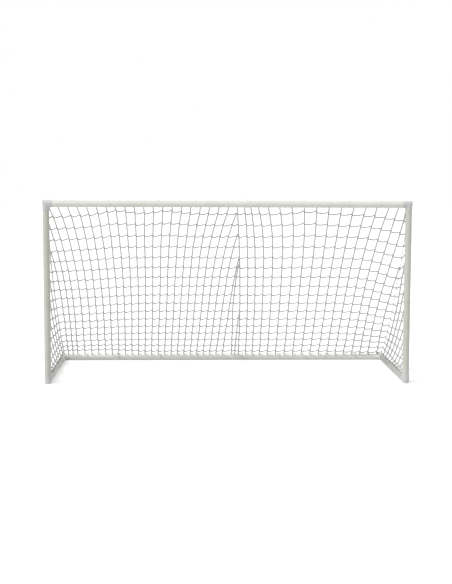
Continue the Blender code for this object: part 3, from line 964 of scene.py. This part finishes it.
class Cords:
    """Cords as swept tubes in one mesh, with a map round each cord and along it in metres."""

    def __init__(self):
        self.verts = []
        self.faces = []
        self.maps = []

    def add(self, points, radius, sides=CORD_SIDES):
        steps = len(points) - 1
        lengths = lengths_along(points)
        tangents = [(points[min(k + 1, steps)] - points[max(k - 1, 0)]).normalized()
                    for k in range(steps + 1)]
        normal = tangents[0].orthogonal().normalized()
        base = len(self.verts)
        for point, tangent in zip(points, tangents):
            normal = (normal - tangent * normal.dot(tangent)).normalized()
            side = tangent.cross(normal)
            for turn in range(sides):
                a = 2 * pi * turn / sides
                self.verts.append(point + radius * (cos(a) * normal + sin(a) * side))
        for k in range(steps):
            for turn in range(sides):
                after = (turn + 1) % sides
                low, high = base + k * sides, base + (k + 1) * sides
                self.faces.append((low + turn, low + after, high + after, high + turn))
                left, right = turn / sides, (turn + 1) / sides
                self.maps += [(left, lengths[k]), (right, lengths[k])]
                self.maps += [(right, lengths[k + 1]), (left, lengths[k + 1])]
        last = base + steps * sides
        self.faces.append(tuple(base + turn for turn in reversed(range(sides))))
        self.faces.append(tuple(last + turn for turn in range(sides)))
        self.maps += [(0.5, 0.0)] * sides + [(0.5, lengths[-1])] * sides

    def knot(self, place, along, size=1.0):
        """A short winding of cord round a crossing."""
        along = along.normalized()
        normal = along.orthogonal().normalized()
        side = along.cross(normal)
        start = 6.0 * noise.noise(place * 3.0)
        points = []
        for k in range(KNOT_STEPS + 1):
            t = k / KNOT_STEPS
            a = start + 2 * pi * KNOT_TURNS * t
            bulge = size * (MESH_RADIUS - KNOT_SINK + KNOT_BULGE * sin(pi * t))
            rise = size * KNOT_HEIGHT * (t - 0.5) * along
            points.append(place + rise + bulge * (cos(a) * normal + sin(a) * side))
        self.add(points, KNOT_RADIUS * size, KNOT_SIDES)

    def piece(self, name, replaced=()):
        mesh = bpy.data.meshes.new(name)
        mesh.from_pydata(self.verts, [], self.faces)
        layer = mesh.uv_layers.new(name="UVMap")
        layer.data.foreach_set("uv", [number for pair in self.maps for number in pair])
        finish_mesh(name, mesh, net_cord, replaced, SHARP_CORD)


def between(start, end, droop, steps, drop=0.0):
    """Points on a cord from one knot to the next, hanging by droop in its middle. It leaves drop
    below the one and arrives drop above the other."""
    points = []
    for k in range(steps + 1):
        t = k / steps
        point = start.lerp(end, t)
        point.z -= droop * 4 * t * (1 - t)
        point.z += drop * (2 * t - 1)
        points.append(point)
    return points


def straight(places):
    """Points on a cord that runs straight from knot to knot."""
    path = places[:1]
    for before, after in zip(places, places[1:]):
        path += between(before, after, 0.0, COLUMN_STEPS)[1:]
    return path


def droop_of(start, end):
    """How far a cord between two knots hangs: most where it runs level, and a little uneven."""
    run = end - start
    level = Vector((run.x, run.y)).length
    return level * (LEVEL_DROOP + DROOP_VARIES * noise.noise(start * 5.0))


def beside_clips(place, bar):
    """A cord's end on a bar, moved along it to clear a clip."""
    room = CLIP_WIDTH / 2 + KNOT_HEIGHT
    for clip in clips_on(bar):
        if abs(place.x - clip) < room:
            return Vector((clip + copysign(room, place.x - clip), place.y, place.z))
    return place


def tie_over_bar(cords, place, lean):
    """A cord's end: a knot on the border cord, and its tail down the front of the rear bar."""
    cords.knot(place, TIE_LEAN, TIE_SIZE)
    reach = TUBE_RADIUS + TAIL_RADIUS + GAP
    points = [place.copy()]
    for k in range(1, TAIL_POINTS):
        a = radians(TAIL_STEP * k)
        across = Vector((lean * TAIL_LEAN * k, -sin(a) * reach, cos(a) * reach))
        points.append(Vector((place.x, REAR_Y, GROUND_Z)) + across)
    cords.add(points, TAIL_RADIUS)


def make_back_net():
    """The back panel. Gives each row's knots by column."""
    cords = Cords()
    rows = [[column_knot(column, row) for column in COLUMNS] for row in range(1, ROWS + 1)]
    for c, (place_of, i, start) in enumerate(COLUMNS):
        top = on_back(place_of(i, start), start)
        foot = beside_clips(on_back(place_of(i, 1.0), 1.0), "rear_bar")
        if not start:
            top = beside_clips(top, "crossbar")
        path = straight([top] + [row[c] for row in rows if row[c]] + [foot])
        if place_of is corner_seam:
            cords.add(path, SEAM_RADIUS[i])
            continue
        cords.add(path, MESH_RADIUS)
        cords.knot(top, Z if start else X, TIE_SIZE)
        tie_over_bar(cords, foot, noise.noise(foot * 9.0))
    for row in rows:
        stops = sorted((place for place in row if place), key=lambda place: place.x)
        path = [stops[0]]
        for before, after in zip(stops, stops[1:]):
            close = (after - before).length < CLOSE_KNOTS
            lift = 0.0 if close else ROW_LIFT
            points = between(before, after, droop_of(before, after), ROW_STEPS, lift)
            path += points[1:] if close else points
        cords.add(path, MESH_RADIUS)
        for place in stops:
            cords.knot(place, KNOT_LEAN)
    cords.piece("net_back_cords", ["net_back"])
    return rows


def tie_place(sign, row):
    return Vector((sign * POST_X, NET_FRONT, FIRST_TIE - TIE_STEP * (row - 1)))


def side_pitch(row):
    """How far apart a side panel's slanting cords are: less towards the ground."""
    return SIDE_PITCH - SIDE_PITCH_LESS * (row / ROWS) ** 2


def side_places(sign, row, seam):
    """The side panel's knots on a row by cord, and the row's end on the post or the side bar."""
    end = tie_place(sign, row)
    limit = 1.0
    if end.z < NET_FLOOR:
        limit = (seam.z - NET_FLOOR) / (seam.z - end.z)
    places = {}
    for k in range(1, SIDE_COLUMNS + 1):
        share = k * side_pitch(row) / (seam.y - NET_FRONT)
        if share < min(limit, SIDE_REACH):
            place = seam.lerp(end, share)
            uneven = [noise.noise(place * scale) for scale in (3.1, 4.3, 5.7)]
            place += SIDE_WANDER * Vector((sign * uneven[0], uneven[1], uneven[2]))
            places[k] = place
    return places, seam.lerp(end, limit)


def make_side_net(name, sign, seams):
    """A side panel, whose rows go on from the back panel's knots at its seam."""
    cords = Cords()
    rows = {row: side_places(sign, row, seam) for row, seam in enumerate(seams, 1)}
    for (places, end), seam in zip(rows.values(), seams):
        stops = [seam] + [places[k] for k in sorted(places)]
        if (stops[-1] - end).length > END_ROOM:
            stops.append(end)
        path = [stops[0]]
        for before, after in zip(stops, stops[1:]):
            droop = droop_of(before, after)
            path += between(before, after, droop, ROW_STEPS, -ROW_LIFT * sign)[1:]
        path[-1] = stops[-1]
        cords.add(path, MESH_RADIUS)
        for place in stops[1:]:
            cords.knot(place, KNOT_LEAN)
    tops = []
    for k in range(1, SIDE_COLUMNS + 1):
        crossed = [row for row in rows if k in rows[row][0]]
        if not crossed:
            break
        top = tie_place(sign, crossed[0] - 0.5)
        foot = Vector((sign * POST_X, REAR_Y - k * side_pitch(ROWS), NET_FLOOR))
        path = straight([top] + [rows[row][0][k] for row in crossed] + [foot])
        cords.add(path, MESH_RADIUS)
        if top not in tops:
            cords.knot(top, Z)
        tops.append(top)
        cords.knot(foot, Y, FOOT_SIZE)
    cords.piece(f"net_{name}_cords", ["net_" + name])


def make_border():
    """The cord in the clips, round both posts, the crossbar and the bars on the ground."""
    cords = Cords()
    shares = [2 * k / BORDER_STEPS - 1 for k in range(BORDER_STEPS + 1)]
    cords.add([Vector((EDGE_TOP * share, NET_FRONT, BAR_Z)) for share in shares], BORDER_RADIUS)
    top, fall, back = BAR_Z - CORD_OFFSET, NET_FLOOR - (BAR_Z - CORD_OFFSET), REAR_Y - NET_FRONT
    for sign in (-1, 1):
        corner = Vector((sign * EDGE_TOP, NET_FRONT, BAR_Z))
        down = [Vector((sign * POST_X, NET_FRONT, top + fall * k / BORDER_DOWN_STEPS))
                for k in range(BORDER_DOWN_STEPS + 1)]
        cords.add([corner] + down, BORDER_RADIUS)
        cords.knot(corner, X, CORNER_SIZE)
        along = [Vector((sign * POST_X, NET_FRONT + back * k / BORDER_BACK_STEPS, NET_FLOOR))
                 for k in range(BORDER_BACK_STEPS + 1)]
        cords.add(along, BORDER_RADIUS)
        for place in (down[-1], along[-1]):
            cords.knot(place, Z, CORNER_SIZE)
    cords.add([Vector((POST_X * share, REAR_Y, NET_FLOOR)) for share in shares], BORDER_RADIUS)
    cords.piece("net_border_cord")


def make_net():
    knots = make_back_net()
    make_side_net("left", -1, [row[0] for row in knots])
    make_side_net("right", 1, [row[-1] for row in knots])
    make_border()


# Where net clips are added between the solid ones, along each tube.
EXTRA_CLIPS = {
    "crossbar": (-1.22, -0.33, 0.20, 0.98, 1.25),
    "rear_bar": (-1.58, -0.73, 0.22, 0.66, 1.55),
    "post_left": (1.49, 0.842, 0.25),
    "post_right": (1.49, 0.842, 0.25),
    "side_bar_left": (-0.45, 0.45),
    "side_bar_right": (-0.45, 0.45),
}
CLIP_BEVEL = 0.0003
RING_STEPS = 32
HOOK_STEPS = 8
TIP_STEPS = 6


def clips_on(bar):
    """The clips' X on the crossbar or the rear bar."""
    nodes = [node for node in frame["nodes"] if node.startswith(f"clip_{bar}_")]
    return [centre(node).x for node in nodes] + list(EXTRA_CLIPS[bar])


def arc(middle, radius, start, end, steps):
    """Points round a centre, by angles from the second axis towards the first."""
    angles = [start + (end - start) * i / steps for i in range(steps + 1)]
    return [(middle[0] + radius * sin(a), middle[1] + radius * cos(a)) for a in angles]


def clip_outline():
    """The clip seen along its tube: an open ring with rounded tips, and a hook for the cord."""
    centre_line, hook = (0, 0), (0, CORD_OFFSET)
    inner = TUBE_RADIUS + GAP
    hook_outer = HOOK_RADIUS + CLIP_HOOK_WALL
    squares = CLIP_RADIUS**2 + CORD_OFFSET**2 - hook_outer**2
    meet = acos(squares / (2 * CLIP_RADIUS * CORD_OFFSET))
    foot = atan2(CLIP_RADIUS * sin(meet), CLIP_RADIUS * cos(meet) - CORD_OFFSET)
    low, high = CORD_OFFSET - HOOK_HALF, CORD_OFFSET + HOOK_HALF
    lip = HOOK_HALF * tan(CLIP_SLOT_HALF)
    span, half = CLIP_HALF_SPAN, RING_STEPS // 2
    outline = arc(centre_line, CLIP_RADIUS, -span, -meet, half)[:-1]
    outline += arc(hook, hook_outer, -foot, -CLIP_SLOT_HALF, HOOK_STEPS)
    outline += [(-lip, high), (-HOOK_HALF, high), (-HOOK_HALF, low)]
    outline += [(HOOK_HALF, low), (HOOK_HALF, high), (lip, high)]
    outline += arc(hook, hook_outer, CLIP_SLOT_HALF, foot, HOOK_STEPS)
    outline += arc(centre_line, CLIP_RADIUS, meet, span, half)[1:]
    middle = (CLIP_RADIUS + inner) / 2
    tip = (middle * sin(span), middle * cos(span))
    outline += arc(tip, CLIP_WALL / 2, span, span + pi, TIP_STEPS)[1:-1]
    outline += arc(centre_line, inner, span, -span, RING_STEPS)
    tip = (-tip[0], tip[1])
    outline += arc(tip, CLIP_WALL / 2, -span - pi, -span, TIP_STEPS)[1:-1]
    return outline


def make_clip(name, place, along, out, nodes):
    """One net clip, with its edges eased. Its hook points out."""
    shape = bmesh.new()
    outline = clip_outline()
    lower, upper = ([shape.verts.new((x, y, z)) for x, y in outline]
                    for z in (-CLIP_WIDTH / 2, CLIP_WIDTH / 2))
    for k in range(len(outline)):
        after = (k + 1) % len(outline)
        shape.faces.new((lower[k], lower[after], upper[after], upper[k]))
    ends = [shape.faces.new(upper), shape.faces.new(list(reversed(lower)))]
    bmesh.ops.recalc_face_normals(shape, faces=shape.faces)
    rims = [edge for face in ends for edge in face.edges]
    bmesh.ops.bevel(shape, geom=rims, offset=CLIP_BEVEL, segments=2, affect="EDGES", profile=0.5)
    bmesh.ops.triangulate(shape, faces=[face for face in shape.faces if len(face.verts) > 4])
    matrix = axes_matrix(place, along, out.cross(along))
    bmesh.ops.transform(shape, matrix=matrix, verts=shape.verts)
    mesh = to_mesh(name, shape)
    soften(finish_mesh(name, mesh, clip_plastic, nodes, SHARP_FITTING))


def clip_place(bar, at):
    """A clip's place on a tube, the tube's direction and the way that its hook points."""
    if bar == "crossbar":
        return Vector((at, FRONT_Y, BAR_Z)), X, Y
    if bar == "rear_bar":
        return Vector((at, REAR_Y, GROUND_Z)), X, Z
    sign = 1 if bar.endswith("right") else -1
    if bar.startswith("post"):
        return Vector((sign * POST_X, FRONT_Y, at)), Z, Y
    return Vector((sign * POST_X, at, GROUND_Z)), Y, Z


def make_clips():
    for node in sorted(frame["nodes"]):
        if node.startswith("clip_"):
            bar = next(bar for bar in EXTRA_CLIPS if node.startswith("clip_" + bar))
            _, along, _ = clip_place(bar, 0)
            make_clip("net_" + node, *clip_place(bar, centre(node).dot(along)), [node])
    for bar, places in EXTRA_CLIPS.items():
        for number, at in enumerate(places, 1):
            make_clip(f"net_clip_{bar}_between_{number}", *clip_place(bar, at), [])


make_camera()
make_stage()
make_frame()
make_net()
make_clips()

bpy.context.scene.view_settings.view_transform = "Standard"
